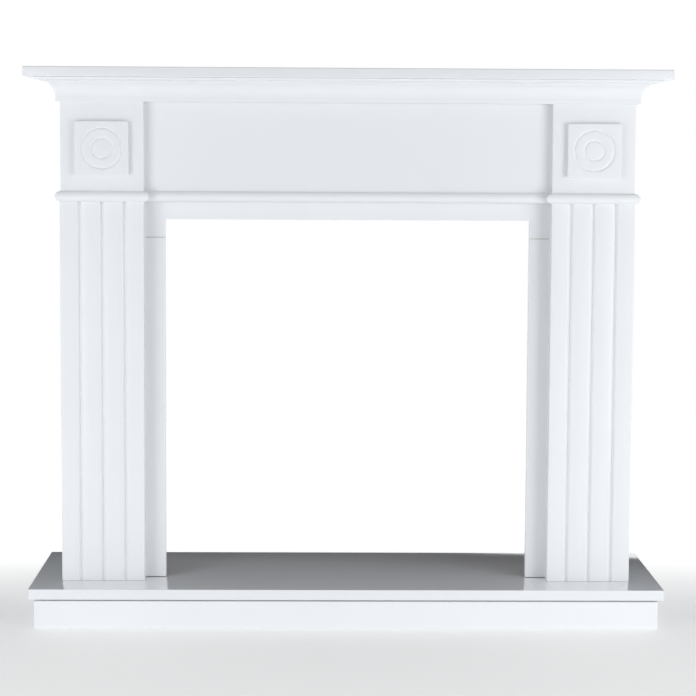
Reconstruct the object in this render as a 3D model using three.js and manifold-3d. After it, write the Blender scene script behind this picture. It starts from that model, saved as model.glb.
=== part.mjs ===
// White fireplace surround. Two hollow legs with grooved pilasters carry a header with capital blocks,
// a frieze, a fascia behind it and a necking moulding. A mitred crown moulding runs under the shelf, and
// the whole stands on a hearth board with a low plinth.
// Millimetres. X runs across the surround, -Y is the front, +Z is up.
// The origin is the middle of the underside, half way between the wall and the hearth's front edge.

import * as THREE from 'three';
import { mergeVertices } from 'three/addons/utils/BufferGeometryUtils.js';
import Module from 'manifold-3d';

// Boards
const boardThickness = 18;
const gap = 0.3; // kept between pieces that touch
const easedEdge = 1.5; // chamfer on the edges of the shelf, hearth board and plates

// Fire opening and the set-back strips beside it
const openingWidth = 703;
const openingHeight = 699; // hearth to fascia
const fasciaShow = 34; // the fascia's face between the opening and the necking
const jambWidth = 38.5;
const jambSetBack = 37; // behind the face of the pilasters
const jambFootGap = 2; // the strips hang this far above the hearth
const jambJointGap = 2; // open joint between a strip and the fascia
const earHeight = 34; // the fascia reaches this far down beside the opening
const fasciaLap = 60; // the fascia reaches this far up behind the frieze

// Legs
const pilasterWidth = 160;
const legDepth = 295; // wall to the face of the pilasters
const legHeight = openingHeight + fasciaShow;
const grooveCount = 3;
const groovePitch = 43;
const grooveWidth = 10;
const grooveDepth = 5;
const grooveSteps = 8;

// Hearth
const hearthSideMargin = 56; // hearth edge beyond the legs
const hearthFrontMargin = 85;
const hearthThickness = 20;
const plinthHeight = 57;
const plinthInset = 10;

// Necking moulding, a half-round that goes round the blocks and across the frieze
const bandHeight = 20;
const bandProjection = 10;
const bandSteps = 12;

// Capital blocks
const blockHeight = 170; // necking to crown
const blockSetIn = 2; // the blocks are this much narrower than the legs on the outer side

// Square plates with two ring grooves
const plateSize = 102;
const plateThickness = 10;
const plateDrop = 3; // centre below the middle of the block's face
const ringRadii = [18.7, 38.2];
const ringWidth = 7;
const ringDepth = 2.6;
const ringSteps = 6;
const ringSegments = 56;

// Crown moulding, from the foot up
const crownFootHeight = 10;
const crownFootProjection = 7.5;
const coveRise = 26;
const coveReach = 15.5;
const coveSteps = 10;
const neckHeight = 3.5;
const stepReach = 14.5; // flat underside of the step
const ovoloReach = 8.5;
const ovoloHeight = 5.5;
const ovoloSteps = 4;

// Shelf and what is hidden below it
const shelfOverhang = 16; // past the crown
const shelfThickness = 19;
const backRailHeight = 60;

// Places across the surround
const openingHalf = openingWidth / 2;
const legInner = openingHalf + jambWidth;
const legOuter = legInner + pilasterWidth;
const blockOuter = legOuter - blockSetIn;
const blockMiddle = (legInner + blockOuter) / 2;
const grooveMiddle = (legInner + legOuter) / 2;
const crownProjection = crownFootProjection + coveReach + stepReach + ovoloReach;
const shelfHalf = blockOuter + gap + crownProjection + shelfOverhang;
const hearthHalf = legOuter + hearthSideMargin;
const plinthHalf = hearthHalf - plinthInset;

// Places from the wall to the front
const hearthDepth = legDepth + hearthFrontMargin;
const plinthDepth = hearthDepth - plinthInset;
const fasciaDepth = legDepth - jambSetBack;
const friezeDepth = fasciaDepth + gap + boardThickness;
const shelfDepth = legDepth + gap + crownProjection + shelfOverhang;
const wallY = hearthDepth / 2;

// Places from the floor up
const hearthTop = plinthHeight + hearthThickness;
const legTop = hearthTop + legHeight;
const fasciaLow = hearthTop + openingHeight;
const earLow = fasciaLow - earHeight;
const bandTop = legTop + bandHeight;
const crownLow = bandTop + blockHeight;
const crownTop = crownLow + crownFootHeight + coveRise + neckHeight + ovoloHeight;
const topBoardLow = crownTop - boardThickness;
const shelfTop = crownTop + shelfThickness;

const satinWhite = { color: 0xe6e8ec, roughness: 0.42, metalness: 0 };
const glossWhite = { color: 0xd9dce2, roughness: 0.18, metalness: 0 };

const wasm = await Module();
wasm.setup();

const surround = new THREE.Group();

function addPiece(name, geometry, finish = satinWhite) {
  const mesh = new THREE.Mesh(geometry, new THREE.MeshStandardMaterial(finish));
  mesh.name = name;
  surround.add(mesh);
}

// The Y of a point at a given depth in front of the wall.
function atDepth(depth) {
  return wallY - depth;
}

// A plain rectangular board between two X, two depths and two heights.
function board([x0, x1], [depth0, depth1], [z0, z1]) {
  const geometry = new THREE.BoxGeometry(x1 - x0, depth1 - depth0, z1 - z0);
  geometry.translate((x0 + x1) / 2, atDepth((depth0 + depth1) / 2), (z0 + z1) / 2);
  return geometry;
}

// A rectangle with cut corners, as a shape.
function cutRectangle(halfX, halfY, cut) {
  return new THREE.Shape([
    new THREE.Vector2(-halfX + cut, -halfY),
    new THREE.Vector2(halfX - cut, -halfY),
    new THREE.Vector2(halfX, -halfY + cut),
    new THREE.Vector2(halfX, halfY - cut),
    new THREE.Vector2(halfX - cut, halfY),
    new THREE.Vector2(-halfX + cut, halfY),
    new THREE.Vector2(-halfX, halfY - cut),
    new THREE.Vector2(-halfX, -halfY + cut),
  ]);
}

// A board lying in XY with all its edges chamfered, centred on the origin.
function easedBoard(sizeX, sizeY, sizeZ, cut) {
  const geometry = new THREE.ExtrudeGeometry(cutRectangle(sizeX / 2, sizeY / 2, cut), {
    depth: sizeZ - 2 * cut,
    bevelEnabled: true,
    bevelSegments: 1,
    bevelThickness: cut,
    bevelSize: cut,
    bevelOffset: -cut,
  });
  geometry.translate(0, 0, cut - sizeZ / 2);
  return geometry;
}

// An upright board whose plan is a list of [x, depth] corners.
function uprightBoard(plan, z0, z1) {
  const shape = new THREE.Shape(plan.map(([x, depth]) => new THREE.Vector2(x, atDepth(depth))));
  const geometry = new THREE.ExtrudeGeometry(shape, { depth: z1 - z0, bevelEnabled: false });
  geometry.translate(0, 0, z0);
  return geometry;
}

// Half of a round: [projection, height] points from the lower to the upper edge.
function halfRound(projection, height, steps) {
  const points = [];
  for (let i = 0; i <= steps; i += 1) {
    const angle = Math.PI * (i / steps - 0.5);
    points.push([projection * Math.cos(angle), (height / 2) * (1 + Math.sin(angle))]);
  }
  return points;
}

// The crown's section as [projection, height] points. The cove is the arc that leaves the foot's face
// upright and reaches coveReach further out after coveRise, and the step above it ends in an ovolo.
function crownSection() {
  const sweep = 2 * Math.atan2(coveReach, coveRise);
  const radius = coveRise / Math.sin(sweep);
  const coveLow = crownFootHeight;
  const neckLow = coveLow + coveRise;
  const stepLow = neckLow + neckHeight;
  const neckOut = crownFootProjection + coveReach;
  const stepOut = neckOut + stepReach;
  const points = [[0, 0], [crownFootProjection, 0]];
  for (let i = 0; i <= coveSteps; i += 1) {
    const angle = (sweep * i) / coveSteps;
    const reach = radius * (1 - Math.cos(angle));
    points.push([crownFootProjection + reach, coveLow + radius * Math.sin(angle)]);
  }
  points.push([neckOut, stepLow]);
  for (let i = 0; i <= ovoloSteps; i += 1) {
    const angle = (Math.PI / 2) * (i / ovoloSteps);
    points.push([stepOut + ovoloReach * Math.sin(angle), stepLow + ovoloHeight * (1 - Math.cos(angle))]);
  }
  points.push([0, stepLow + ovoloHeight]);
  return points;
}

// Carries a closed section from one end to the other. startOf and endOf give the place of a section
// point at each end, so the ends can be square or mitred.
function carriedSection(section, startOf, endOf) {
  const count = section.length;
  const corners = [...section.map(startOf), ...section.map(endOf)];
  const flat = section.map(([projection, height]) => new THREE.Vector2(projection, height));
  const index = [];
  for (let i = 0; i < count; i += 1) {
    const next = (i + 1) % count;
    index.push(i, next, count + next, i, count + next, count + i);
  }
  for (const [a, b, c] of THREE.ShapeUtils.triangulateShape(flat, [])) {
    index.push(c, b, a);
    index.push(count + a, count + b, count + c);
  }
  const geometry = new THREE.BufferGeometry();
  geometry.setAttribute('position', new THREE.Float32BufferAttribute(corners.flat(), 3));
  geometry.setIndex(index);
  return facingOut(geometry);
}

// Turns every triangle over when the solid's signed volume is negative.
function facingOut(geometry) {
  const position = geometry.getAttribute('position');
  const index = geometry.getIndex();
  const [a, b, c] = [new THREE.Vector3(), new THREE.Vector3(), new THREE.Vector3()];
  let volume = 0;
  for (let i = 0; i < index.count; i += 3) {
    a.fromBufferAttribute(position, index.getX(i));
    b.fromBufferAttribute(position, index.getX(i + 1));
    c.fromBufferAttribute(position, index.getX(i + 2));
    volume += a.dot(b.cross(c));
  }
  if (volume < 0) {
    for (let i = 0; i < index.count; i += 3) {
      const first = index.getX(i);
      index.setX(i, index.getX(i + 2));
      index.setX(i + 2, first);
    }
  }
  geometry.computeVertexNormals();
  return geometry;
}

// A closed geometry as a solid for cutting.
function solidOf(geometry) {
  const plain = geometry.clone();
  plain.deleteAttribute('normal');
  plain.deleteAttribute('uv');
  const merged = mergeVertices(plain, 1e-4);
  return new wasm.Manifold(new wasm.Mesh({
    numProp: 3,
    vertProperties: new Float32Array(merged.getAttribute('position').array),
    triVerts: new Uint32Array(merged.getIndex().array),
  }));
}

function geometryOf(solid) {
  const mesh = solid.getMesh();
  const geometry = new THREE.BufferGeometry();
  geometry.setAttribute('position', new THREE.BufferAttribute(mesh.vertProperties, 3));
  geometry.setIndex(new THREE.BufferAttribute(mesh.triVerts, 1));
  geometry.computeVertexNormals();
  return geometry;
}

// How deep a rounded groove is at a share of its half width: one wave of a cosine, so both its
// bottom and its two arrises are round.
function grooveDip(depth, share) {
  return depth * (0.5 + 0.5 * Math.cos(Math.PI * share));
}

// Plan of the pilaster's front board. Its ends are mitred, and the grooves cut its face.
function pilasterPlan(side) {
  const plan = [[side * (legInner + gap), legDepth]];
  for (let k = 0; k < grooveCount; k += 1) {
    const middle = grooveMiddle + (k - (grooveCount - 1) / 2) * groovePitch;
    for (let i = 0; i <= grooveSteps; i += 1) {
      const share = (2 * i) / grooveSteps - 1;
      const x = middle + (share * grooveWidth) / 2;
      plan.push([side * x, legDepth - grooveDip(grooveDepth, share)]);
    }
  }
  plan.push([side * (legOuter - gap), legDepth]);
  plan.push([side * (legOuter - boardThickness - gap), legDepth - boardThickness]);
  plan.push([side * (legInner + boardThickness + gap), legDepth - boardThickness]);
  return plan;
}

// Plan of a front board with mitred ends, between two X at a given depth of its face.
function mitredFrontPlan(x0, x1, depth) {
  return [
    [x0 + gap, depth],
    [x1 - gap, depth],
    [x1 - boardThickness - gap, depth - boardThickness],
    [x0 + boardThickness + gap, depth - boardThickness],
  ];
}

// Plan of a side board, mitred at the front. outward is the way its face looks along X.
function mitredSidePlan(x, outward, depth) {
  const inside = x - outward * boardThickness;
  return [
    [x, depth - gap],
    [x, 0],
    [inside, 0],
    [inside, depth - boardThickness - gap],
  ];
}

function buildHearth() {
  const slab = easedBoard(2 * hearthHalf, hearthDepth, hearthThickness - gap, easedEdge);
  slab.translate(0, 0, plinthHeight + gap + (hearthThickness - gap) / 2);
  addPiece('hearth_board', slab, glossWhite);
  const frontPlan = mitredFrontPlan(-plinthHalf, plinthHalf, plinthDepth);
  addPiece('plinth_front', uprightBoard(frontPlan, 0, plinthHeight));
  for (const [name, side] of [['plinth_left', -1], ['plinth_right', 1]]) {
    addPiece(name, uprightBoard(mitredSidePlan(side * plinthHalf, side, plinthDepth), 0, plinthHeight));
  }
  const backHalf = plinthHalf - boardThickness - gap;
  addPiece('plinth_back', board([-backHalf, backHalf], [0, boardThickness], [0, plinthHeight]));
}

function buildLeg(name, side) {
  const low = hearthTop + gap;
  const outerPlan = mitredSidePlan(side * legOuter, side, legDepth);
  const innerPlan = mitredSidePlan(side * legInner, -side, legDepth);
  addPiece(`${name}_pilaster`, uprightBoard(pilasterPlan(side), low, legTop));
  addPiece(`${name}_leg_outer_side`, uprightBoard(outerPlan, low, legTop));
  addPiece(`${name}_leg_inner_side`, uprightBoard(innerPlan, low, legTop));
  const stripEnds = [side * openingHalf, side * (legInner - gap)].sort((a, b) => a - b);
  const stripDepths = [fasciaDepth - boardThickness, fasciaDepth];
  const stripHeights = [hearthTop + jambFootGap, earLow - jambJointGap];
  addPiece(`${name}_jamb_strip`, board(stripEnds, stripDepths, stripHeights));
}

function buildBlock(name, side) {
  const low = legTop + gap;
  const [x0, x1] = [side * legInner, side * blockOuter].sort((a, b) => a - b);
  const outerPlan = mitredSidePlan(side * blockOuter, side, legDepth);
  const innerPlan = mitredSidePlan(side * legInner, -side, legDepth);
  addPiece(`${name}_block`, uprightBoard(mitredFrontPlan(x0, x1, legDepth), low, topBoardLow));
  addPiece(`${name}_header_outer_side`, uprightBoard(outerPlan, low, topBoardLow));
  addPiece(`${name}_header_inner_side`, uprightBoard(innerPlan, low, topBoardLow));
}

// One ring groove as a solid, round the Y axis, cutting down from y = 0.
function ringCutter(radius) {
  const points = [];
  for (let i = 0; i <= ringSteps; i += 1) {
    const share = (2 * i) / ringSteps - 1;
    points.push(new THREE.Vector2(radius + (share * ringWidth) / 2, -grooveDip(ringDepth, share)));
  }
  points.push(new THREE.Vector2(radius + ringWidth / 2, ringDepth));
  points.push(new THREE.Vector2(radius - ringWidth / 2, ringDepth));
  points.push(points[0].clone());
  return new THREE.LatheGeometry(points, ringSegments);
}

function buildPlate(name, side) {
  const slab = easedBoard(plateSize, plateSize, plateThickness, easedEdge);
  slab.rotateX(Math.PI / 2);
  slab.translate(0, -plateThickness / 2, 0);
  let solid = solidOf(slab);
  for (const radius of ringRadii) {
    const cutter = ringCutter(radius);
    cutter.rotateX(Math.PI);
    cutter.translate(0, -plateThickness, 0);
    solid = solid.subtract(solidOf(cutter));
  }
  const geometry = geometryOf(solid);
  const middleZ = (bandTop + crownLow) / 2 - plateDrop;
  geometry.translate(side * blockMiddle, atDepth(legDepth + gap), middleZ);
  addPiece(`${name}_plate`, geometry);
}

// Mouldings that go round a block: the section stands out by its projection from the faces at
// x = edge and at the leg's depth, and neighbouring lengths meet in mitres.
function buildNecking() {
  const section = halfRound(bandProjection, bandHeight - gap, bandSteps);
  const low = legTop + gap;
  const outerX = (p) => blockOuter + gap + p;
  const innerX = (p) => legInner - gap - p;
  const frontY = (p) => atDepth(legDepth + gap + p);
  const friezeY = (p) => atDepth(friezeDepth + gap + p);
  for (const [name, side] of [['left', -1], ['right', 1]]) {
    addPiece(`${name}_necking_outer`, carriedSection(section,
      ([p, z]) => [side * outerX(p), frontY(p) + gap, low + z],
      ([p, z]) => [side * outerX(p), wallY, low + z]));
    addPiece(`${name}_necking_front`, carriedSection(section,
      ([p, z]) => [side * (innerX(p) + gap), frontY(p), low + z],
      ([p, z]) => [side * (outerX(p) - gap), frontY(p), low + z]));
    addPiece(`${name}_necking_inner`, carriedSection(section,
      ([p, z]) => [side * innerX(p), frontY(p) + gap, low + z],
      ([p, z]) => [side * innerX(p), friezeY(p) - gap, low + z]));
  }
  addPiece('frieze_astragal', carriedSection(section,
    ([p, z]) => [-innerX(p) + gap, friezeY(p), low + z],
    ([p, z]) => [innerX(p) - gap, friezeY(p), low + z]));
}

function buildHeader() {
  const half = legInner - gap;
  const fasciaTop = legTop + fasciaLap;
  const outline = new THREE.Shape([
    new THREE.Vector2(-half, earLow),
    new THREE.Vector2(-openingHalf, earLow),
    new THREE.Vector2(-openingHalf, fasciaLow),
    new THREE.Vector2(openingHalf, fasciaLow),
    new THREE.Vector2(openingHalf, earLow),
    new THREE.Vector2(half, earLow),
    new THREE.Vector2(half, fasciaTop),
    new THREE.Vector2(-half, fasciaTop),
  ]);
  const fascia = new THREE.ExtrudeGeometry(outline, { depth: boardThickness, bevelEnabled: false });
  fascia.rotateX(Math.PI / 2);
  fascia.translate(0, atDepth(fasciaDepth - boardThickness), 0);
  addPiece('fascia', fascia);
  addPiece('frieze', board([-half, half], [fasciaDepth + gap, friezeDepth], [legTop + gap, topBoardLow]));
  addPiece('frieze_soffit', board([-half, half], [friezeDepth + gap, legDepth], [crownLow, topBoardLow]));
  const topHeights = [topBoardLow + gap, crownTop];
  const railHeights = [topBoardLow - backRailHeight, topBoardLow];
  addPiece('header_top_board', board([-blockOuter, blockOuter], [0, legDepth], topHeights));
  addPiece('header_back_rail', board([-half, half], [0, boardThickness], railHeights));
}

function buildCrown() {
  const section = crownSection();
  const sideX = (p) => blockOuter + gap + p;
  const frontY = (p) => atDepth(legDepth + gap + p);
  addPiece('crown_front', carriedSection(section,
    ([p, z]) => [-sideX(p) + gap, frontY(p), crownLow + z],
    ([p, z]) => [sideX(p) - gap, frontY(p), crownLow + z]));
  for (const [name, side] of [['crown_left', -1], ['crown_right', 1]]) {
    addPiece(name, carriedSection(section,
      ([p, z]) => [side * sideX(p), frontY(p) + gap, crownLow + z],
      ([p, z]) => [side * sideX(p), wallY, crownLow + z]));
  }
}

function buildShelf() {
  const slab = easedBoard(2 * shelfHalf, shelfDepth, shelfThickness - gap, easedEdge);
  slab.translate(0, atDepth(shelfDepth / 2), shelfTop - (shelfThickness - gap) / 2);
  addPiece('shelf', slab);
}

buildHearth();
for (const [name, side] of [['left', -1], ['right', 1]]) {
  buildLeg(name, side);
  buildBlock(name, side);
  buildPlate(name, side);
}
buildNecking();
buildHeader();
buildCrown();
buildShelf();

export default surround;
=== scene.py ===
# White fireplace surround in sprayed fibreboard, standing on a glossy hearth board.
# Metres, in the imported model's own frame: X across, -Y to the front, Z up, the floor at Z = 0.

import math

import bpy
import numpy as np
from mathutils import Matrix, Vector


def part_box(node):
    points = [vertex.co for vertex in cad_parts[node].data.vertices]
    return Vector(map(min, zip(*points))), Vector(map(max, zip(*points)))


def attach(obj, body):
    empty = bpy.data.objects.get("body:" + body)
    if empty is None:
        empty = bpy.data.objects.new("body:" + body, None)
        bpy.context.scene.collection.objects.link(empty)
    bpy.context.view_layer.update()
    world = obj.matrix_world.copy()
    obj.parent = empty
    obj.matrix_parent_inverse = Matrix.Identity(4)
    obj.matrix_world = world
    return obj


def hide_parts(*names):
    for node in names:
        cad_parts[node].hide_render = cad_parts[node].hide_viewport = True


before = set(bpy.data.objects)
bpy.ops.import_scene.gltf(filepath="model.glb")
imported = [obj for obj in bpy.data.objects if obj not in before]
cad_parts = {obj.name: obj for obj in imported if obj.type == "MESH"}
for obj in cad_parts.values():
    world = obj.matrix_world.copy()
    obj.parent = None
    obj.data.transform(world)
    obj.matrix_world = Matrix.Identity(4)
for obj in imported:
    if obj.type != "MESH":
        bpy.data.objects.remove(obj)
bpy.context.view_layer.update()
millimetre = 0.001
sides = {"left": -1, "right": 1}
print("frame loaded:", len(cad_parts), "nodes")


# Materials

def toLinear(hexCode):
    # sRGB to linear light: a straight line near black, a power of 2.4 above it
    srgb = np.array([int(hexCode[i:i + 2], 16) for i in (1, 3, 5)]) / 255
    linear = np.where(srgb <= 0.04045, srgb / 12.92, ((srgb + 0.055) / 1.055) ** 2.4)
    return (*linear.tolist(), 1.0)


def addNode(tree, kind, inputs=None, **settings):
    # Adds one node: a plain value goes on the socket, another node's socket is linked to it
    node = tree.nodes.new(kind)
    for key, value in settings.items():
        setattr(node, key, value)
    for key, value in (inputs or {}).items():
        if isinstance(value, bpy.types.NodeSocket):
            tree.links.new(value, node.inputs[key])
        else:
            node.inputs[key].default_value = value
    return node


def newMaterial(name):
    material = bpy.data.materials.new(name)
    material.use_nodes = True
    material.node_tree.nodes.clear()
    return material, material.node_tree


def lacquer(name, look):
    # Two-pack lacquer sprayed on primed fibreboard: a hard white film, even in colour, that keeps the gun's
    # fine orange peel. Routed and sanded edges drink more of it, so they are a little flatter in gloss.
    material, tree = newMaterial(name)
    place = addNode(tree, "ShaderNodeTexCoord").outputs["Object"]
    cloud = addNode(tree, "ShaderNodeTexNoise", {
        "Vector": place, "Scale": 1 / look["cloudSize"], "Detail": 3.0, "Roughness": 0.55})
    peel = addNode(tree, "ShaderNodeTexNoise", {
        "Vector": place, "Scale": 1 / look["peelSize"], "Detail": 1.5, "Roughness": 0.4})
    waves = addNode(tree, "ShaderNodeTexNoise", {
        "Vector": place, "Scale": 1 / look["waveSize"], "Detail": 0.0})
    shade = addNode(tree, "ShaderNodeMix", {
        "Factor": cloud.outputs["Fac"], "A": toLinear(look["shadow"]), "B": toLinear(look["colour"])},
        data_type="RGBA")
    edge = addNode(tree, "ShaderNodeAttribute", attribute_name="routed", attribute_type="GEOMETRY")
    film = addNode(tree, "ShaderNodeMapRange", {
        "Value": cloud.outputs["Fac"], "From Min": cloudSpread[0], "From Max": cloudSpread[1],
        "To Min": look["roughness"][0], "To Max": look["roughness"][1]})
    roughness = addNode(tree, "ShaderNodeMath", {
        0: edge.outputs["Fac"], 1: look["edgeRoughness"], 2: film.outputs["Result"]},
        operation="MULTIPLY_ADD")
    coarse = addNode(tree, "ShaderNodeBump", {
        "Height": waves.outputs["Fac"], "Distance": look["waveHeight"], "Strength": 1.0})
    fine = addNode(tree, "ShaderNodeBump", {
        "Height": peel.outputs["Fac"], "Distance": look["peelHeight"], "Strength": 1.0,
        "Normal": coarse.outputs["Normal"]})
    shader = addNode(tree, "ShaderNodeBsdfPrincipled", {
        "Base Color": shade.outputs["Result"], "Roughness": roughness.outputs["Value"],
        "IOR": 1.5, "Coat Weight": look["coat"], "Coat Roughness": 0.04, "Normal": fine.outputs["Normal"]})
    addNode(tree, "ShaderNodeOutputMaterial", {"Surface": shader.outputs["BSDF"]})
    return material


def fibreboard(name, look):
    # Raw medium-density fibreboard: pressed wood flour in resin. Matt and warm brown, with a fine fleck
    # of lighter and darker fibres and broad clouds where the press left it denser.
    material, tree = newMaterial(name)
    place = addNode(tree, "ShaderNodeTexCoord").outputs["Object"]
    fleck = addNode(tree, "ShaderNodeTexNoise", {
        "Vector": place, "Scale": 1 / look["fleckSize"], "Detail": 4.0, "Roughness": 0.7})
    cloud = addNode(tree, "ShaderNodeTexNoise", {
        "Vector": place, "Scale": 1 / look["cloudSize"], "Detail": 2.0})
    amount = addNode(tree, "ShaderNodeMath", {
        0: fleck.outputs["Fac"], 1: look["fleckContrast"], 2: (1 - look["fleckContrast"]) / 2},
        operation="MULTIPLY_ADD")
    tone = addNode(tree, "ShaderNodeMix", {
        "Factor": amount.outputs["Value"], "A": toLinear(look["dark"]), "B": toLinear(look["light"])},
        data_type="RGBA")
    pressed = addNode(tree, "ShaderNodeMix", {
        "Factor": cloud.outputs["Fac"], "A": toLinear(look["dense"]), "B": tone.outputs["Result"]},
        data_type="RGBA")
    rough = addNode(tree, "ShaderNodeBump", {
        "Height": fleck.outputs["Fac"], "Distance": look["fibreHeight"], "Strength": 1.0})
    shader = addNode(tree, "ShaderNodeBsdfPrincipled", {
        "Base Color": pressed.outputs["Result"], "Roughness": 0.88, "IOR": 1.45,
        "Normal": rough.outputs["Normal"]})
    addNode(tree, "ShaderNodeOutputMaterial", {"Surface": shader.outputs["BSDF"]})
    return material


cloudSpread = (0.3, 0.7)                 # the cloud noise lies mostly between these
satinLook = {
    "colour": "#F0F2F5", "shadow": "#EDEFF2",
    "cloudSize": 220 * millimetre,       # broad unevenness of the film
    "peelSize": 3.5 * millimetre,        # orange peel, drawn a little coarser than life so that it shows
    "peelHeight": 0.012 * millimetre,
    "waveSize": 60 * millimetre,         # slow waves left by sanding the primer
    "waveHeight": 0.05 * millimetre,
    "roughness": (0.20, 0.26),           # varies between these with the film
    "edgeRoughness": 0.08,               # added where an edge was routed and sanded
    "coat": 0.0,
}
glossLook = {
    "colour": "#EEF0F4", "shadow": "#E9ECF1",
    "cloudSize": 250 * millimetre,
    "peelSize": 5 * millimetre,
    "peelHeight": 0.006 * millimetre,
    "waveSize": 90 * millimetre,
    "waveHeight": 0.02 * millimetre,
    "roughness": (0.07, 0.11),
    "edgeRoughness": 0.10,
    "coat": 1.0,                         # a clear coat polished over the white
}
boardLook = {
    "light": "#C79F70", "dark": "#94683D", "dense": "#A77D50",
    "fleckSize": 2.5 * millimetre,
    "fleckContrast": 0.65,
    "cloudSize": 120 * millimetre,
    "fibreHeight": 0.04 * millimetre,
}
satinPaint = lacquer("Sprayed satin white lacquer", satinLook)
glossPaint = lacquer("Sprayed gloss white lacquer", glossLook)
rawBoard = fibreboard("Raw pressed fibreboard", boardLook)


# Surfaces

arcSteps = 5                       # straight bits in a quarter of a small arris
flatFrom = 2.5 * millimetre        # a face whose sides are all longer than this is shaded flat
sharpFrom = math.radians(32)       # edges that turn by more than this stay crisp
samePoint = 0.0001 * millimetre    # points closer together than this are one


def cornerArc(centre, radius, fromDegrees, toDegrees):
    # Points of a circle's arc: centre + radius * (cos, sin) of evenly spaced angles
    angle = np.radians(np.linspace(fromDegrees, toDegrees, arcSteps + 1))
    return np.array(centre) + radius * np.stack([np.cos(angle), np.sin(angle)], -1)


def quarterRound(radius):
    # An arris from the face backwards: how far the outline is set in, r (1 - sin a), at each depth behind
    # the face, r (1 - cos a)
    angle = np.linspace(0, math.pi / 2, arcSteps + 1)
    return radius * (1 - np.sin(angle)), radius * (1 - np.cos(angle))


def routedWave(depth, steps):
    # A routed groove across its width, as one wave of a cosine: shares of its half width from -1 to 1, and
    # the dip at each, depth * (0.5 + 0.5 cos(pi * share))
    share = np.linspace(-1, 1, steps + 1)
    return share, depth * (0.5 + 0.5 * np.cos(math.pi * share))


def roundedOutline(corners, radius):
    # Every corner becomes an arc that touches both its sides: the arc's centre lies on the corner's
    # bisector, radius / sin(half the corner) away, and the points swing from one touching point to the other
    corner = np.array(corners, float)
    back = np.roll(corner, 1, 0) - corner
    ahead = np.roll(corner, -1, 0) - corner
    back /= np.linalg.norm(back, axis=1, keepdims=True)
    ahead /= np.linalg.norm(ahead, axis=1, keepdims=True)
    half = 0.5 * np.arccos((back * ahead).sum(1, keepdims=True))
    bisector = (back + ahead) / np.linalg.norm(back + ahead, axis=1, keepdims=True)
    centre = corner + bisector * radius / np.sin(half)
    start = corner + back * radius / np.tan(half) - centre
    end = corner + ahead * radius / np.tan(half) - centre
    first = np.arctan2(start[:, 1], start[:, 0])
    swing = (np.arctan2(end[:, 1], end[:, 0]) - first + math.pi) % (2 * math.pi) - math.pi
    angle = first[:, None] + swing[:, None] * np.linspace(0, 1, arcSteps + 1)
    points = centre[:, None] + radius * np.stack([np.cos(angle), np.sin(angle)], -1)
    points = points.reshape(-1, 2)
    apart = np.linalg.norm(points - np.roll(points, 1, 0), axis=1)
    return points[apart > samePoint]


def insetOutlines(outline, amounts):
    # One copy of the outline for each amount, moved inwards: every point moves along the mitre of its two
    # sides' normals, (n0 + n1) / (1 + n0 . n1), so straight sides stay parallel
    following = np.roll(outline, -1, 0)
    side = following - outline
    side /= np.linalg.norm(side, axis=1, keepdims=True)
    area = 0.5 * np.sum(outline[:, 0] * following[:, 1] - outline[:, 1] * following[:, 0])
    normal = np.sign(area) * np.stack([-side[:, 1], side[:, 0]], -1)
    before = np.roll(normal, 1, 0)
    mitre = (normal + before) / (1 + (normal * before).sum(1, keepdims=True))
    return outline + np.array(amounts)[:, None, None] * mitre


def atHeights(outlines, heights):
    # Outlines in plan, one for each height, as sections of points in space
    height = np.broadcast_to(np.reshape(heights, (-1, 1, 1)), (*outlines.shape[:2], 1))
    return np.concatenate([outlines, height], -1)


def skin(name, sections, material, bareEdges=(), bareEnds=(False, False), flatSteps=()):
    # Quads between neighbouring sections (stations x points x 3) and one face over each end. A signed
    # volume below nought means that the faces look inwards, and then every face is turned over. Quads
    # that are short one way are taken to be curved, save in the steps between sections named as flat
    stations, points = sections.shape[:2]
    station, point = np.meshgrid(np.arange(stations - 1), np.arange(points), indexing="ij")
    ahead = (point + 1) % points
    quads = np.stack([station * points + point, station * points + ahead,
                      (station + 1) * points + ahead, (station + 1) * points + point], -1).reshape(-1, 4)
    corners = sections.reshape(-1, 3)
    middle = corners.mean(0)
    a, b, c, d = (corners[quads[:, i]] - middle for i in range(4))
    volume = (a * (np.cross(b, c) + np.cross(c, d))).sum()
    firstEnd = np.arange(points)[::-1]
    lastEnd = (stations - 1) * points + np.arange(points)
    for end in (firstEnd, lastEnd):
        rim = corners[end] - middle
        volume += (np.cross(rim, np.roll(rim, -1, 0)) @ rim.mean(0)).sum()
    if volume < 0:
        quads, firstEnd, lastEnd = quads[:, ::-1], firstEnd[::-1], lastEnd[::-1]
    mesh = bpy.data.meshes.new(name)
    mesh.from_pydata(corners.tolist(), [], quads.tolist() + [firstEnd.tolist(), lastEnd.tolist()])
    across = np.linalg.norm(corners[quads[:, 0]] - corners[quads[:, 1]], axis=1)
    along = np.linalg.norm(corners[quads[:, 1]] - corners[quads[:, 2]], axis=1)
    curved = (np.minimum(across, along) < flatFrom) & ~np.isin(station, flatSteps).reshape(-1)
    curved = np.append(curved, [False, False])
    mesh.polygons.foreach_set("use_smooth", curved)
    routed = mesh.attributes.new("routed", "FLOAT", "FACE")
    routed.data.foreach_set("value", curved.astype(np.float32))
    mesh.materials.append(material)
    if len(bareEdges) or any(bareEnds):
        mesh.materials.append(rawBoard)
        bare = np.isin(point, np.array(bareEdges) % points).reshape(-1)
        mesh.polygons.foreach_set("material_index", np.append(bare, bareEnds).astype(np.int32))
    mesh.update()
    mesh.set_sharp_from_angle(angle=sharpFrom)
    return mesh


def addPiece(name, mesh, material, *nodes):
    # The piece rides on the one body and hides the nodes that it stands for
    piece = bpy.data.objects.new(name, mesh)
    bpy.context.scene.collection.objects.link(piece)
    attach(piece, "root")
    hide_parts(*nodes)


# Boards

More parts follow.
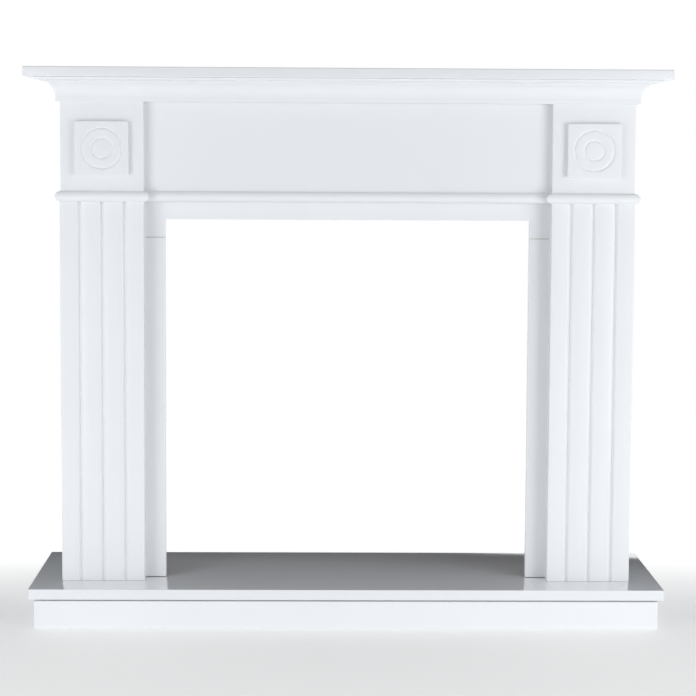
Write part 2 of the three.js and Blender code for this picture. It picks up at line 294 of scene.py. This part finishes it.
def boardPlan(width, thickness, arris, mitreStart, mitreEnd, face=()):
    # Plan of a board with its face along v = 0 from u = 0 to u = width. An arris is an eighth of a circle up
    # to a mitre, where the next board carries on with it, or a quarter at a square end
    start = cornerArc((arris, arris), arris, 225 if mitreStart else 180, 270)
    end = cornerArc((width - arris, arris), arris, 270, 315 if mitreEnd else 360)
    back = [(width - thickness * mitreEnd, thickness), (thickness * mitreStart, thickness)]
    return np.concatenate([start, np.array(face).reshape(-1, 2), end, back])


def uprightBoard(name, node, corner, along, inward, plans, heights):
    # Every plan is laid from the corner, u along one way and v the other, at its own height. The plan's last
    # three sides, its back with the end on either hand, stay bare board, and so do the sawn top and foot
    plans = np.array(plans)
    flat = np.array(corner) + plans[..., :1] * np.array(along) + plans[..., 1:] * np.array(inward)
    mesh = skin(name, atHeights(flat, heights), satinPaint, bareEdges=(-3, -2, -1), bareEnds=(True, True))
    addPiece(name, mesh, satinPaint, node)


leg = {
    "arris": 1.6 * millimetre,
    "footJoint": 0.3 * millimetre,     # dark line between the leg's foot and the hearth
    "grooveCount": 3,
    "groovePitch": 43 * millimetre,
    "grooveWidth": 10 * millimetre,
    "grooveDepth": 5 * millimetre,
    "grooveSteps": 20,                 # straight bits across a groove
}


def groovedFace(width):
    # Points along the face of a pilaster, in evenly spaced grooves about its middle
    share, dip = routedWave(leg["grooveDepth"], leg["grooveSteps"])
    order = np.arange(leg["grooveCount"]) - (leg["grooveCount"] - 1) / 2
    u = (order * leg["groovePitch"] + width / 2)[:, None] + share * leg["grooveWidth"] / 2
    return np.stack([u, np.broadcast_to(dip, u.shape)], -1)


def makeCasing(prefix, side, front, outerSide, innerSide, ends, grooved=False):
    # Three mitred boards round a hollow: the front, and a side on either hand back to the wall
    frontBox, outerBox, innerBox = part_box(front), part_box(outerSide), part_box(innerSide)
    outerX = outerBox[0].x if side < 0 else outerBox[1].x
    innerX = innerBox[1].x if side < 0 else innerBox[0].x
    frontY, wallY = frontBox[0].y, outerBox[1].y
    thickness = outerBox[1].x - outerBox[0].x
    width = abs(outerX - innerX)
    plan = boardPlan(width, thickness, leg["arris"], True, True, groovedFace(width) if grooved else ())
    sidePlans = [boardPlan(wallY - frontY, thickness, leg["arris"], True, False)] * 2
    inwardX = -side
    uprightBoard(prefix + "Front", front, (outerX, frontY), (inwardX, 0), (0, 1), [plan] * 2, ends)
    uprightBoard(prefix + "OuterSide", outerSide, (outerX, frontY), (0, 1), (inwardX, 0), sidePlans, ends)
    uprightBoard(prefix + "InnerSide", innerSide, (innerX, frontY), (0, 1), (-inwardX, 0), sidePlans, ends)


def makeLegs():
    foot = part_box("hearth_board")[1].z + leg["footJoint"]
    for name, side in sides.items():
        ends = (foot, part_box(f"{name}_pilaster")[1].z)
        makeCasing(f"{name}Leg", side, f"{name}_pilaster", f"{name}_leg_outer_side",
                   f"{name}_leg_inner_side", ends, grooved=True)


def makeBlocks():
    for name, side in sides.items():
        ends = (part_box(f"{name}_pilaster")[1].z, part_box(f"{name}_block")[1].z)
        makeCasing(f"{name}Block", side, f"{name}_block", f"{name}_header_outer_side",
                   f"{name}_header_inner_side", ends)


plinth = {
    "arris": 1.2 * millimetre,
    "rebateHeight": 4.6 * millimetre,  # shadow line under the hearth board
    "rebateDepth": 10 * millimetre,
}


def makePlinth():
    # Front and side boards, mitred at the front corners. The top of the face is rebated: there the face's
    # points move inwards, and along the board too at a mitred end
    frontBox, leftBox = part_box("plinth_front"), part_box("plinth_left")
    thickness = frontBox[1].y - frontBox[0].y
    left, right = leftBox[0].x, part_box("plinth_right")[1].x
    frontY, wallY = frontBox[0].y, leftBox[1].y
    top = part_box("hearth_board")[0].z
    step = top - plinth["rebateHeight"]
    heights = (frontBox[0].z, step, step, top)
    depth = plinth["rebateDepth"]
    arcPoints = arcSteps + 1
    boards = (
        ("plinthFront", "plinth_front", left, (1, 0), (0, 1), right - left, True),
        ("plinthLeft", "plinth_left", left, (0, 1), (1, 0), wallY - frontY, False),
        ("plinthRight", "plinth_right", right, (0, 1), (-1, 0), wallY - frontY, False))
    for name, node, x, along, inward, length, mitred in boards:
        plan = boardPlan(length, thickness, plinth["arris"], True, mitred)
        rebated = plan.copy()
        rebated[:2 * arcPoints, 1] += depth
        rebated[:arcPoints, 0] += depth
        rebated[arcPoints:2 * arcPoints, 0] -= depth * mitred
        uprightBoard(name, node, (x, frontY), along, inward, (plan, plan, rebated, rebated), heights)


shelf = {
    "cornerRadius": 2.5 * millimetre,
    "arris": 2.0 * millimetre,
}
hearth = {
    "cornerRadius": 3.0 * millimetre,
    "arris": 1.0 * millimetre,
}


def rectangle(left, right, low, high):
    return [(left, low), (right, low), (right, high), (left, high)]


def flatBoard(name, node, material, edges):
    # A board lying flat: a rounded rectangle in plan, carried up with eased arrises below and above
    low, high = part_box(node)
    outline = roundedOutline(rectangle(low.x, high.x, low.y, high.y), edges["cornerRadius"])
    inset, depth = quarterRound(edges["arris"])
    heights = np.concatenate([low.z + depth, (high.z - depth)[::-1]])
    sections = atHeights(insetOutlines(outline, np.concatenate([inset, inset[::-1]])), heights)
    addPiece(name, skin(name, sections, material), material, node)


panels = {
    "openingHeight": 699 * millimetre,   # hearth to the underside of the fascia
    "arris": 1.6 * millimetre,           # round the opening
    "stripFootJoint": 1.2 * millimetre,  # open joint under the strips beside the opening
    "stripHeadJoint": 1.0 * millimetre,  # and over them
}


def panelBoard(name, node, corners, eased=(), sawn=()):
    # An upright panel facing the front: its right-angled outline in X and Z is carried back from the face
    # to a square back, which is left bare as the sawn sides are. Along an eased side the face's edge is a
    # quarter of a circle, and a corner moves inwards by the insets of the two sides that meet there
    low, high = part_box(node)
    outline = np.array(corners, float)
    ahead = np.roll(outline, -1, 0) - outline
    inward = np.stack([-ahead[:, 1], ahead[:, 0]], -1) / np.linalg.norm(ahead, axis=1, keepdims=True)
    inward *= np.isin(np.arange(len(outline)), eased)[:, None]
    inset, depth = quarterRound(panels["arris"]) if eased else np.zeros((2, 1))
    flat = outline + np.append(inset, 0)[:, None, None] * (inward + np.roll(inward, 1, 0))
    place = np.broadcast_to(np.append(low.y + depth, high.y)[:, None], flat.shape[:2])
    sections = np.stack([flat[..., 0], place, flat[..., 1]], -1)
    mesh = skin(name, sections, satinPaint, bareEdges=sawn, bareEnds=(False, True))
    addPiece(name, mesh, satinPaint, node)


def makePanels():
    # Fascia with its two ears, set-back strips, frieze and the strip of soffit over it. All of them run
    # up to the legs or the blocks, so only the sides towards the opening are eased. The strips hang free
    # of the hearth, with an open joint to the ears above them
    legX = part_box("right_leg_inner_side")[0].x
    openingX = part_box("right_jamb_strip")[0].x
    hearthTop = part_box("hearth_board")[1].z
    low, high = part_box("fascia")
    top = hearthTop + panels["openingHeight"]
    panelBoard("fasciaBoard", "fascia", [
        (-legX, low.z), (-openingX, low.z), (-openingX, top), (openingX, top),
        (openingX, low.z), (legX, low.z), (legX, high.z), (-legX, high.z)], eased=(1, 2, 3), sawn=(0, 4))
    foot = hearthTop + panels["stripFootJoint"]
    head = low.z - panels["stripHeadJoint"]
    panelBoard("leftJambStrip", "left_jamb_strip", rectangle(-legX, -openingX, foot, head), (1,), (0, 2))
    panelBoard("rightJambStrip", "right_jamb_strip", rectangle(openingX, legX, foot, head), (3,), (0, 2))
    for name, node in (("friezeBoard", "frieze"), ("friezeSoffit", "frieze_soffit")):
        low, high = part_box(node)
        panelBoard(name, node, rectangle(-legX, legX, low.z, high.z))


# Mouldings

def mitredLength(name, node, section, *ends):
    # A closed section of (projection, height) points drawn out between two ends. An end is a corner in plan
    # with the way out from it, which each point follows by its own projection, so a mitred end leans
    projection, height = section[:, :1], section[:, 1:]
    sections = [np.hstack([np.array(corner) + projection * np.array(outward), height])
                for corner, outward in ends]
    mesh = skin(name, np.stack(sections), satinPaint, bareEnds=(True, True))
    addPiece(name, mesh, satinPaint, node)


necking = {"steps": 28}            # straight bits round the half ellipse


def neckingSection(low, high, projection):
    # Half of an ellipse: out by projection * cos a, up by half the height * sin a, from below to above
    angle = np.linspace(-math.pi / 2, math.pi / 2, necking["steps"] + 1)
    return np.stack([projection * np.cos(angle), (low + high) / 2 + (high - low) / 2 * np.sin(angle)], -1)


def makeNecking():
    # Round each block in three mitred lengths, and across the frieze
    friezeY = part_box("frieze")[0].y
    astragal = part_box("frieze_astragal")
    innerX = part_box("right_header_inner_side")[0].x
    for name, side in sides.items():
        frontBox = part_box(f"{name}_necking_front")
        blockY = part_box(f"{name}_block")[0].y
        outerX = abs(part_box(f"{name}_header_outer_side")[0 if side < 0 else 1].x)
        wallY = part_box(f"{name}_necking_outer")[1].y
        section = neckingSection(frontBox[0].z, frontBox[1].z, blockY - frontBox[0].y)
        outerCorner = (side * outerX, blockY), (side, -1)
        innerCorner = (side * innerX, blockY), (-side, -1)
        wallEnd = (side * outerX, wallY), (side, 0)
        friezeEnd = (side * innerX, friezeY), (-side, -1)
        mitredLength(f"{name}NeckingOuter", f"{name}_necking_outer", section, outerCorner, wallEnd)
        mitredLength(f"{name}NeckingFront", f"{name}_necking_front", section, innerCorner, outerCorner)
        mitredLength(f"{name}NeckingInner", f"{name}_necking_inner", section, innerCorner, friezeEnd)
    section = neckingSection(astragal[0].z, astragal[1].z, friezeY - astragal[0].y)
    mitredLength("friezeAstragal", "frieze_astragal", section,
                 ((-innerX, friezeY), (1, -1)), ((innerX, friezeY), (-1, -1)))


crown = {
    "footHeight": 10 * millimetre,
    "footProjection": 7.5 * millimetre,
    "coveRise": 26 * millimetre,
    "coveReach": 15.5 * millimetre,
    "neckHeight": 3.5 * millimetre,
    "stepReach": 14.5 * millimetre,
    "ovoloReach": 8.5 * millimetre,
    "ovoloHeight": 5.5 * millimetre,
    "arris": 0.8 * millimetre,
    "coveSteps": 26,
    "ovoloSteps": 10,
}


def crownSection(low, growth):
    # From the foot up: an upright face, a cove that leaves it upright and turns outwards as a circle's arc
    # whose chord is its reach and rise, a short neck, a flat step and an ovolo, a quarter of an ellipse
    sweep = 2 * math.atan2(crown["coveReach"], crown["coveRise"])
    radius = crown["coveRise"] / math.sin(sweep)
    foot = crown["footProjection"] + growth
    angle = np.linspace(0, sweep, crown["coveSteps"] + 1)
    cove = np.stack([foot + radius * (1 - np.cos(angle)), crown["footHeight"] + radius * np.sin(angle)], -1)
    neckOut = foot + crown["coveReach"]
    stepLow = crown["footHeight"] + crown["coveRise"] + crown["neckHeight"]
    quarter = np.linspace(0, math.pi / 2, crown["ovoloSteps"] + 1)
    stepOut = neckOut + crown["stepReach"]
    ovolo = np.stack([stepOut + crown["ovoloReach"] * np.sin(quarter),
                      stepLow + crown["ovoloHeight"] * (1 - np.cos(quarter))], -1)
    arris = crown["arris"]
    footArris = cornerArc((foot - arris, arris), arris, 270, 360)
    top = stepLow + crown["ovoloHeight"]
    section = np.concatenate([[(0, 0)], footArris, cove, [(neckOut, stepLow)], ovolo, [(0, top)]])
    return section + np.array([0, low])


def makeCrown():
    # Front length with a return on either hand, mitred at the corners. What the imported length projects
    # beyond the section's own parts goes to its foot
    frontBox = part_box("crown_front")
    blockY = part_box("left_block")[0].y
    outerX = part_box("right_header_outer_side")[1].x
    shape = crown["footProjection"] + crown["coveReach"] + crown["stepReach"] + crown["ovoloReach"]
    section = crownSection(frontBox[0].z, (blockY - frontBox[0].y) - shape)
    mitredLength("crownFront", "crown_front", section,
                 ((-outerX, blockY), (-1, -1)), ((outerX, blockY), (1, -1)))
    for name, side in sides.items():
        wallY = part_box(f"crown_{name}")[1].y
        mitredLength(f"crown{name.capitalize()}", f"crown_{name}", section,
                     ((side * outerX, blockY), (side, -1)), ((side * outerX, wallY), (side, 0)))


# Plates

plate = {
    "ringRadii": (18.7 * millimetre, 38.2 * millimetre),    # to the middle of each ring groove
    "ringWidth": 7 * millimetre,
    "ringDepth": 2.6 * millimetre,
    "ringSteps": 16,                   # straight bits across a groove
    "arris": 1.5 * millimetre,
    "squareness": 60,                  # power of the outline's rounded square
    "around": 256,                     # points in each ring
    "centre": 3 * millimetre,          # radius of the one face in the middle
    "turnsSquareAt": 44 * millimetre,  # radius of the last circle
}


def makePlates():
    # Rings from the middle outwards, each a distance from the centre and a dip below the face. They are
    # circles until just past the last ring groove, then they turn into the square |x|^n + |z|^n = half^n,
    # and the arris and the side carry the square back to the block
    power = plate["squareness"]
    angle = np.linspace(0, 2 * math.pi, plate["around"], endpoint=False)
    way = np.stack([np.cos(angle), np.sin(angle)], -1)
    square = way / (np.abs(way) ** power).sum(1, keepdims=True) ** (1 / power)
    half = (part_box("left_plate")[1].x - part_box("left_plate")[0].x) / 2
    share, groove = routedWave(plate["ringDepth"], plate["ringSteps"])
    rings = [radius + share * plate["ringWidth"] / 2 for radius in plate["ringRadii"]]
    radii = np.concatenate([[plate["centre"]], *rings, [plate["turnsSquareAt"]]])
    inset, arrisDepth = quarterRound(plate["arris"])
    halves = np.append(half - inset, half)
    flat = np.concatenate([radii[:, None, None] * way, halves[:, None, None] * square])
    flatSteps = (0, len(share), 2 * len(share), 2 * len(share) + 1)
    for name in sides:
        low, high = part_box(f"{name}_plate")
        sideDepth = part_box(f"{name}_block")[0].y - low.y
        depth = np.concatenate([[0], groove, groove, [0], arrisDepth, [sideDepth]])
        place = np.broadcast_to(low.y + depth[:, None], flat.shape[:2])
        x, z = flat[..., 0] + (low.x + high.x) / 2, flat[..., 1] + (low.z + high.z) / 2
        mesh = skin(f"{name}Plate", np.stack([x, place, z], -1), satinPaint, flatSteps=flatSteps)
        addPiece(f"{name}Plate", mesh, satinPaint, f"{name}_plate")


makeLegs()
makeBlocks()
makePlinth()
makePanels()
print("boards made")
flatBoard("shelfBoard", "shelf", satinPaint, shelf)
flatBoard("hearthBoard", "hearth_board", glossPaint, hearth)
makeNecking()
makeCrown()
makePlates()
print("mouldings, shelf, hearth and plates made")

for node in ("header_top_board", "header_back_rail", "plinth_back"):
    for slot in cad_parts[node].material_slots:
        slot.material = rawBoard


# Studio

studio = {
    "floorRadius": 3.6,
    "floorPoints": 96,             # along the floor's rim
    "floorFadesFrom": 2.2,         # past this radius the floor melts into the pale surroundings
    "floorColour": "#F5F5F4",
    "floorGlow": 0.19,             # the floor is a sheet lit from below, weakly in front
    "floorGlowBehind": 0.72,       # and strongly behind
    "glowTurns": (-0.1, 0.7),      # places in Y between which the one turns into the other
    "wallTop": (4, 5.5),           # degrees above the horizon between which the walls end
    "wallSide": (0.55, 0.75),      # the white wall ends where a direction's share of Y falls between these
    "wallLight": 1.0,              # the white wall behind
    "aroundLight": 0.12,           # as low down, in front and to the sides
    "roofLight": 0.425,            # higher up, in front and to the sides
    "darkLight": 0.02,             # over the white wall
    "lightColour": "#FBFDFF",
}


def makeFloor():
    # A disc of one face that turns see-through towards its rim
    angle = np.linspace(0, 2 * math.pi, studio["floorPoints"], endpoint=False)
    rim = studio["floorRadius"] * np.stack([np.cos(angle), np.sin(angle), 0 * angle], -1)
    mesh = bpy.data.meshes.new("studioFloor")
    mesh.from_pydata(rim.tolist(), [], [list(range(len(rim)))])
    material, tree = newMaterial("Matt white studio floor")
    place = addNode(tree, "ShaderNodeTexCoord").outputs["Object"]
    reach = addNode(tree, "ShaderNodeVectorMath", {0: place}, operation="LENGTH")
    fade = addNode(tree, "ShaderNodeMapRange", {
        "Value": reach.outputs["Value"], "From Min": studio["floorFadesFrom"],
        "From Max": studio["floorRadius"]}, interpolation_type="SMOOTHSTEP")
    behind = addNode(tree, "ShaderNodeMapRange", {
        "Value": addNode(tree, "ShaderNodeSeparateXYZ", {0: place}).outputs["Y"],
        "From Min": studio["glowTurns"][0], "From Max": studio["glowTurns"][1],
        "To Min": studio["floorGlow"], "To Max": studio["floorGlowBehind"]}, interpolation_type="SMOOTHSTEP")
    paper = addNode(tree, "ShaderNodeBsdfDiffuse", {"Color": toLinear(studio["floorColour"])})
    glow = addNode(tree, "ShaderNodeEmission", {
        "Color": toLinear(studio["lightColour"]), "Strength": behind.outputs["Result"]})
    lit = addNode(tree, "ShaderNodeAddShader", {0: paper.outputs["BSDF"], 1: glow.outputs["Emission"]})
    clear = addNode(tree, "ShaderNodeBsdfTransparent")
    mix = addNode(tree, "ShaderNodeMixShader", {
        0: fade.outputs["Result"], 1: lit.outputs["Shader"], 2: clear.outputs["BSDF"]})
    addNode(tree, "ShaderNodeOutputMaterial", {"Surface": mix.outputs["Shader"]})
    mesh.materials.append(material)
    floor = bpy.data.objects.new("studioFloor", mesh)
    bpy.context.scene.collection.objects.link(floor)


lamps = {
    "softboxLeft": {"place": (-1.62, -1.7, 0.65), "aim": (-0.35, 0, 0.6), "size": (1.15, 1.3), "watts": 16.5},
    "softboxRight": {"place": (1.77, -1.7, 0.65), "aim": (0.35, 0, 0.6), "size": (1.3, 1.3), "watts": 22.5},
}


def makeLamp(name, lamp):
    # Columns of the turn: the lamp's right, its up, and the way back from what it shines on
    light = bpy.data.lights.new(name, "AREA")
    light.shape = "RECTANGLE"
    light.size, light.size_y = lamp["size"]
    light.energy = lamp["watts"]
    light.color = toLinear(studio["lightColour"])[:3]
    holder = bpy.data.objects.new(name, light)
    holder.visible_camera = False
    bpy.context.scene.collection.objects.link(holder)
    place, aim = np.array(lamp["place"]), np.array(lamp["aim"])
    back = (place - aim) / np.linalg.norm(place - aim)
    right = np.cross((0, 0, 1), back)
    right /= np.linalg.norm(right)
    turn = np.eye(4)
    turn[:3] = np.stack([right, np.cross(back, right), back, place], -1)
    holder.matrix_world = Matrix(turn.tolist())


def makeWorld():
    # A white wall behind the surround under a dark upper part, and a dimmer studio in front with a paler
    # roof. How far a direction looks up or back is the sine of its angle
    world = bpy.data.worlds.new("White wall in a dim studio")
    bpy.context.scene.world = world
    world.use_nodes = True
    tree = world.node_tree
    tree.nodes.clear()
    way = addNode(tree, "ShaderNodeTexCoord").outputs["Generated"]
    parts = addNode(tree, "ShaderNodeSeparateXYZ", {0: way})
    below, above = (addNode(tree, "ShaderNodeMapRange", {
        "Value": parts.outputs["Y"], "From Min": studio["wallSide"][0], "From Max": studio["wallSide"][1],
        "To Min": studio[front], "To Max": studio[behind]}).outputs["Result"]
        for front, behind in (("aroundLight", "wallLight"), ("roofLight", "darkLight")))
    low, high = (math.sin(math.radians(angle)) for angle in studio["wallTop"])
    strength = addNode(tree, "ShaderNodeMapRange", {
        "Value": parts.outputs["Z"], "From Min": low, "From Max": high,
        "To Min": below, "To Max": above}, interpolation_type="SMOOTHSTEP")
    shader = addNode(tree, "ShaderNodeBackground", {
        "Color": (1, 1, 1, 1), "Strength": strength.outputs["Result"]})
    addNode(tree, "ShaderNodeOutputWorld", {"Surface": shader.outputs["Background"]})


camera = {
    "place": (-0.0690, -4.2387, 0.9282),
    "pitch": 0.0956,            # radians down
    "yaw": 0.0170,              # radians to the right
    "roll": -0.0055,            # radians clockwise, seen from behind the camera
    "focalPixels": 2160.7,      # focal length in pixels of the picture
    "pictureWidth": 696,
    "sensorWidth": 36,          # millimetres
    "clipEnd": 60,              # metres, well past the floor's rim
}


def makeCamera():
    # Columns of the turn: the picture's right, its up, and the way back from the subject
    pitch, yaw, roll = camera["pitch"], camera["yaw"], camera["roll"]
    level = np.array([math.cos(yaw), -math.sin(yaw), 0])
    forward = np.array([math.cos(pitch) * math.sin(yaw), math.cos(pitch) * math.cos(yaw), -math.sin(pitch)])
    lifted = np.array([math.sin(pitch) * math.sin(yaw), math.sin(pitch) * math.cos(yaw), math.cos(pitch)])
    right = math.cos(roll) * level - math.sin(roll) * lifted
    up = math.sin(roll) * level + math.cos(roll) * lifted
    turn = np.eye(4)
    turn[:3] = np.stack([right, up, -forward, camera["place"]], -1)
    lens = bpy.data.cameras.new("camera")
    lens.sensor_width = camera["sensorWidth"]
    lens.lens = camera["focalPixels"] / camera["pictureWidth"] * camera["sensorWidth"]
    lens.clip_end = camera["clipEnd"]
    view = bpy.data.objects.new("camera", lens)
    bpy.context.scene.collection.objects.link(view)
    view.matrix_world = Matrix(turn.tolist())
    bpy.context.scene.camera = view


makeFloor()
makeWorld()
for name, lamp in lamps.items():
    makeLamp(name, lamp)
makeCamera()
bpy.context.scene.view_settings.view_transform = "Standard"
print("studio and camera set")
